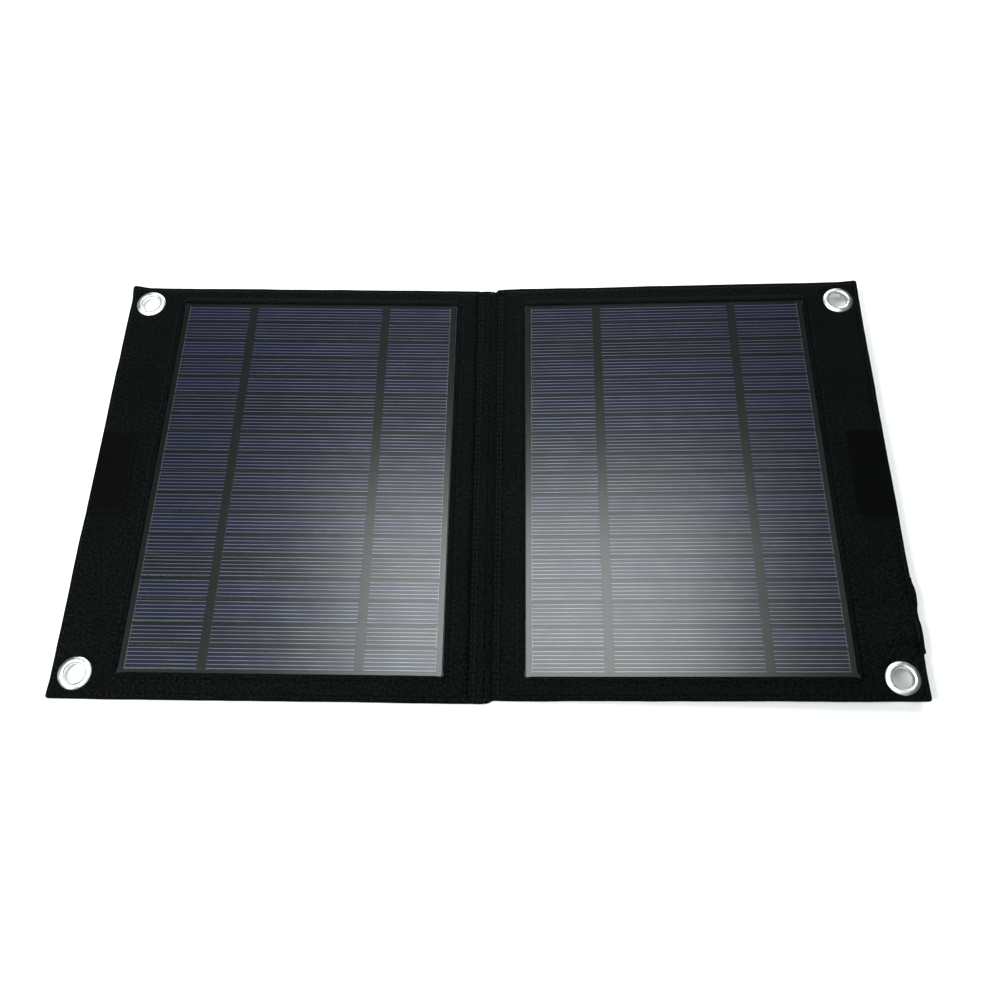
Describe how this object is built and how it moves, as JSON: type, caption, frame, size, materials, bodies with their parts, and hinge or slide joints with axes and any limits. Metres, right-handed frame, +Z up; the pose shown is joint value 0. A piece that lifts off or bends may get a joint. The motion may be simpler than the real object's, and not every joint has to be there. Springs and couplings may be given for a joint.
{
  "type": "folding solar panel",
  "caption": "Two-leaf folding solar panel in a black fabric folder, with blue cell strips, corner eyelets, hook and loop patches and a charge regulator in a sleeve underneath.",
  "frame": {"origin": "middle of the spine, on the surface that the open panel lies on", "axes": "+X across the open leaves towards the leaf with the regulator, +Y along the spine towards the far edge, +Z up, the way the cells face"},
  "size_m": [0.4396, 0.25, 0.0164],
  "materials": {
    "cover_cloth": "black woven polyester with a faint green cast, matt, sewn",
    "sleeve_cloth": "black woven polyester, matt",
    "stiffener_board": "grey extruded sheet, hidden between the covers",
    "backsheet_laminate": "black glass laminate",
    "silicon_cell": "deep blue anti-reflection coated silicon with fine printed silver lines",
    "coated_ribbon": "dark coated copper ribbon",
    "front_laminate": "clear satin front laminate with a light edge",
    "plated_eyelet": "bright nickel plate, rolled",
    "socket_shell": "folded plated steel sheet",
    "hook_tape": "black hook tape, rough and slightly shiny",
    "loop_tape": "deep black brushed loop tape",
    "lead_jacket": "black flexible jacket",
    "potting": "black potting resin",
    "regulator_shell": "black moulded ABS, fine texture",
    "circuit_laminate": "green solder mask",
    "tongue_plastic": "white moulded nylon",
    "lens_plastic": "red clear indicator lens",
    "ferrite": "dark grey ferrite block",
    "chip_resin": "black moulded resin",
    "tab_webbing": "black narrow webbing"
  },
  "bodies": {
    "left_leaf": {"left_front_cover": "cover_cloth", "left_back_cover": "cover_cloth", "left_stiffener_board": "stiffener_board", "left_module_backsheet": "backsheet_laminate", "left_cell_string": "silicon_cell", "left_inner_ribbon": "coated_ribbon", "left_outer_ribbon": "coated_ribbon", "left_front_laminate": "front_laminate", "left_junction_block": "potting", "left_lead": "lead_jacket", "left_top_eyelet": "plated_eyelet", "left_top_washer": "plated_eyelet", "left_bottom_eyelet": "plated_eyelet", "left_bottom_washer": "plated_eyelet", "left_hook_patch": "hook_tape"},
    "spine": {"spine_back_band": "cover_cloth", "spine_front_band": "cover_cloth", "spine_lead": "lead_jacket"},
    "right_leaf": {"right_front_cover": "cover_cloth", "right_back_cover": "cover_cloth", "right_stiffener_board": "stiffener_board", "right_module_backsheet": "backsheet_laminate", "right_cell_string": "silicon_cell", "right_inner_ribbon": "coated_ribbon", "right_outer_ribbon": "coated_ribbon", "right_front_laminate": "front_laminate", "right_junction_block": "potting", "right_lead": "lead_jacket", "right_top_eyelet": "plated_eyelet", "right_top_washer": "plated_eyelet", "right_bottom_eyelet": "plated_eyelet", "right_bottom_washer": "plated_eyelet", "right_loop_patch": "loop_tape", "regulator_base": "regulator_shell", "regulator_lid": "regulator_shell", "regulator_circuit_board": "circuit_laminate", "output_socket_shell": "socket_shell", "output_socket_tongue": "tongue_plastic", "status_lens": "lens_plastic", "inductor": "ferrite", "controller_chip": "chip_resin", "output_lead": "lead_jacket", "regulator_sleeve": "sleeve_cloth"},
    "flap": {"sleeve_flap": "sleeve_cloth", "flap_pull_tab": "tab_webbing"}
  },
  "joints": [
    {"name": "left_crease", "type": "hinge", "parent": "left_leaf", "child": "spine", "pos_m": [-0.006, 0, 0.0013], "axis": [0, -1, 0], "range_deg": [-60, 90.5]},
    {"name": "right_crease", "type": "hinge", "parent": "spine", "child": "right_leaf", "pos_m": [0.006, 0, 0.0013], "axis": [0, -1, 0], "range_deg": [-58.1, 87.51]},
    {"name": "flap_hinge", "type": "hinge", "parent": "right_leaf", "child": "flap", "pos_m": [0.21829, -0.08, 0.01377], "axis": [0, -1, 0], "range_deg": [0, 150]}
  ],
  "couplings": [
    {"joint": "right_crease", "follows": "left_crease", "ratio": 0.96673}
  ]
}
